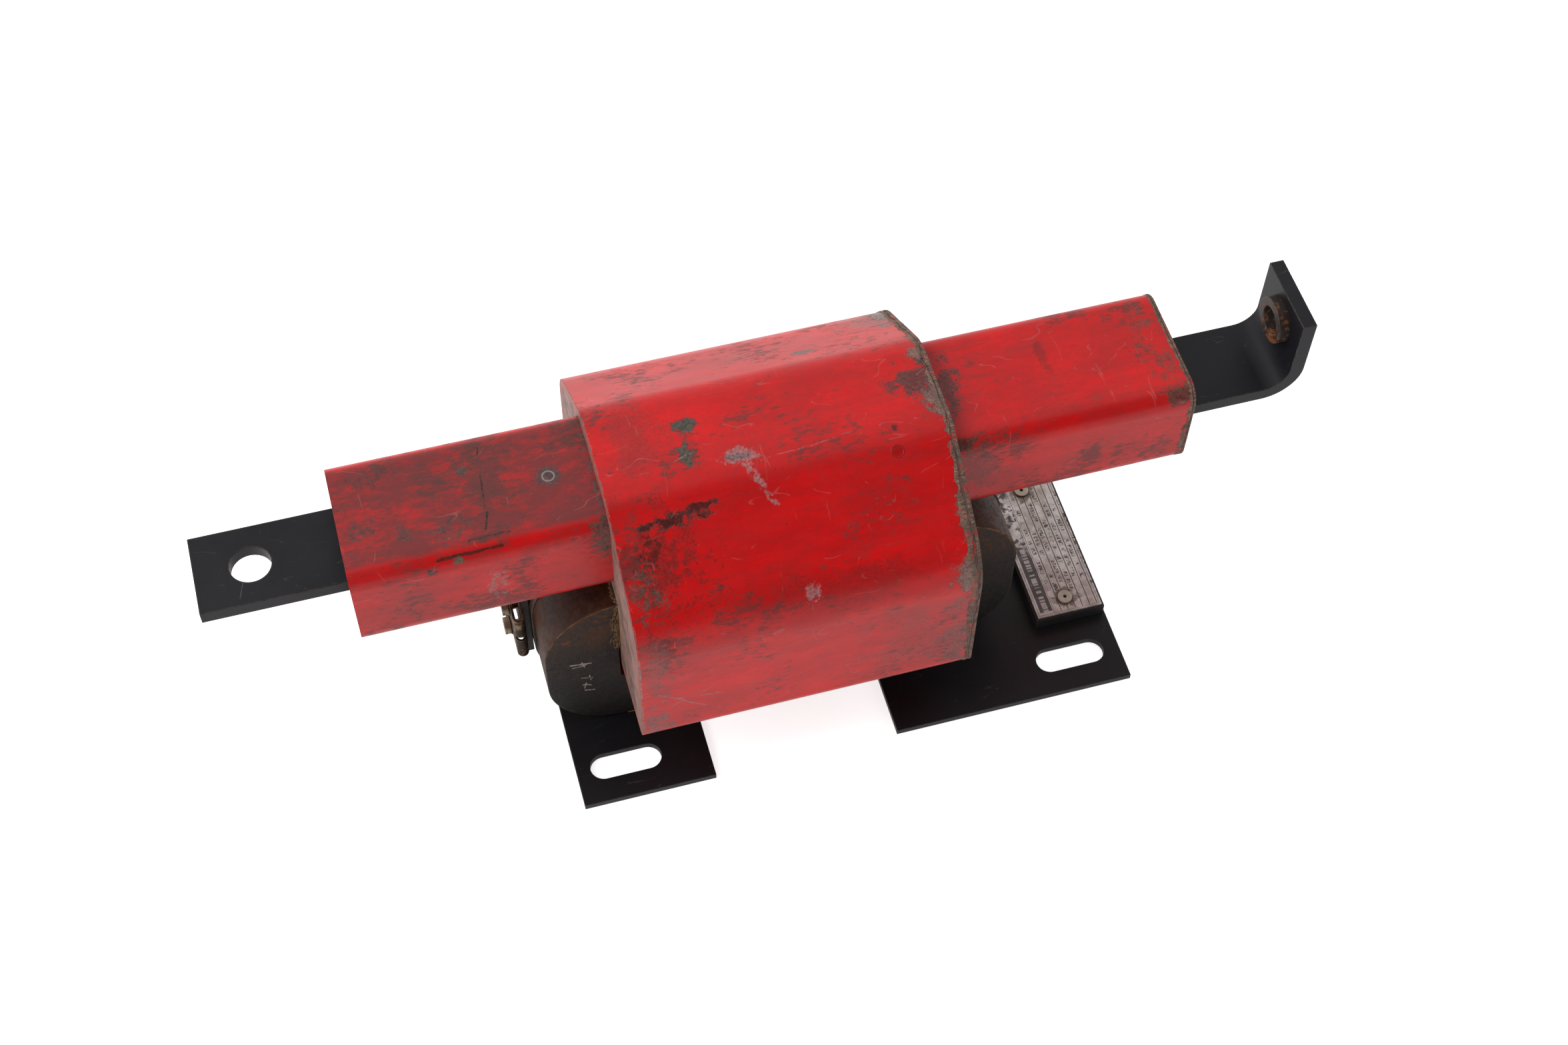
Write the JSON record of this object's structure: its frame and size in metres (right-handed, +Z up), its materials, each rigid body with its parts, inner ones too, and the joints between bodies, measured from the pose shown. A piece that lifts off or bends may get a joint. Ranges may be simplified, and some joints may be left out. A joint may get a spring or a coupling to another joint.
{
  "type": "current transformer",
  "caption": "Dry-type wound current transformer: red insulated coil housing with bar arms, wound core under it, slotted sheet feet.",
  "frame": {"origin": "centre of the four foot slots, on the underside of the base plates", "axes": "+X along the primary bars towards the upturned terminal, +Y across the bars away from the side the nameplate's raised end faces, +Z up"},
  "size_m": [0.4841, 0.1524, 0.1674],
  "materials": {
    "housing_red": "worn red insulating enamel over moulded laminate",
    "end_wall": "bare laminate, scuffed",
    "compound": "dull potting compound",
    "core_steel": "varnished lamination edges with rust bloom",
    "band_steel": "blackened steel strip",
    "plate_black": "black lacquer on sheet steel",
    "bar_black": "black lacquer on copper, edges rubbed",
    "bush_steel": "black lacquer, rust round the collar",
    "nameplate_metal": "etched plate, stained",
    "rivet_metal": "plated, tarnished",
    "pad_black": "black fibre",
    "board_black": "black phenolic board",
    "brass": "worn brass, tarnished",
    "copper_winding": "varnished copper wire",
    "paper_board": "varnished pressboard",
    "lead_cover": "black varnished braid"
  },
  "bodies": {
    "transformer": {"base_plate_left": "plate_black", "base_plate_right": "plate_black", "core_half_left": "core_steel", "core_half_right": "core_steel", "core_band": "band_steel", "band_seal": "band_steel", "core_pads_left": "paper_board", "core_pads_right": "paper_board", "core_barrier_tube": "paper_board", "secondary_coil": "copper_winding", "winding_barrier": "paper_board", "primary_coil": "copper_winding", "primary_lead_left": "copper_winding", "primary_lead_right": "copper_winding", "coil_compound": "compound", "housing_shell": "housing_red", "end_wall_left": "end_wall", "end_wall_right": "end_wall", "arm_tube_left": "housing_red", "arm_tube_right": "housing_red", "arm_compound_left": "compound", "arm_compound_right": "compound", "primary_bar_left": "bar_black", "primary_bar_right": "bar_black", "terminal_bush": "bush_steel", "nameplate_pad": "pad_black", "nameplate": "nameplate_metal", "nameplate_rivets": "rivet_metal", "terminal_board": "board_black", "terminal_clip_upper": "brass", "terminal_clip_lower": "brass", "terminal_washers": "brass", "terminal_nuts": "brass", "secondary_lead_upper": "lead_cover", "secondary_lead_lower": "lead_cover"},
    "screw_upper": {"terminal_screw_upper": "brass"},
    "screw_lower": {"terminal_screw_lower": "brass"}
  },
  "joints": [
    {"name": "screw_upper_turn", "type": "hinge", "parent": "transformer", "child": "screw_upper", "pos_m": [-0.14415, 0.002, 0.0582], "axis": [-1, 0, 0], "continuous": true},
    {"name": "screw_lower_turn", "type": "hinge", "parent": "transformer", "child": "screw_lower", "pos_m": [-0.14415, 0.002, 0.0422], "axis": [-1, 0, 0], "continuous": true}
  ]
}
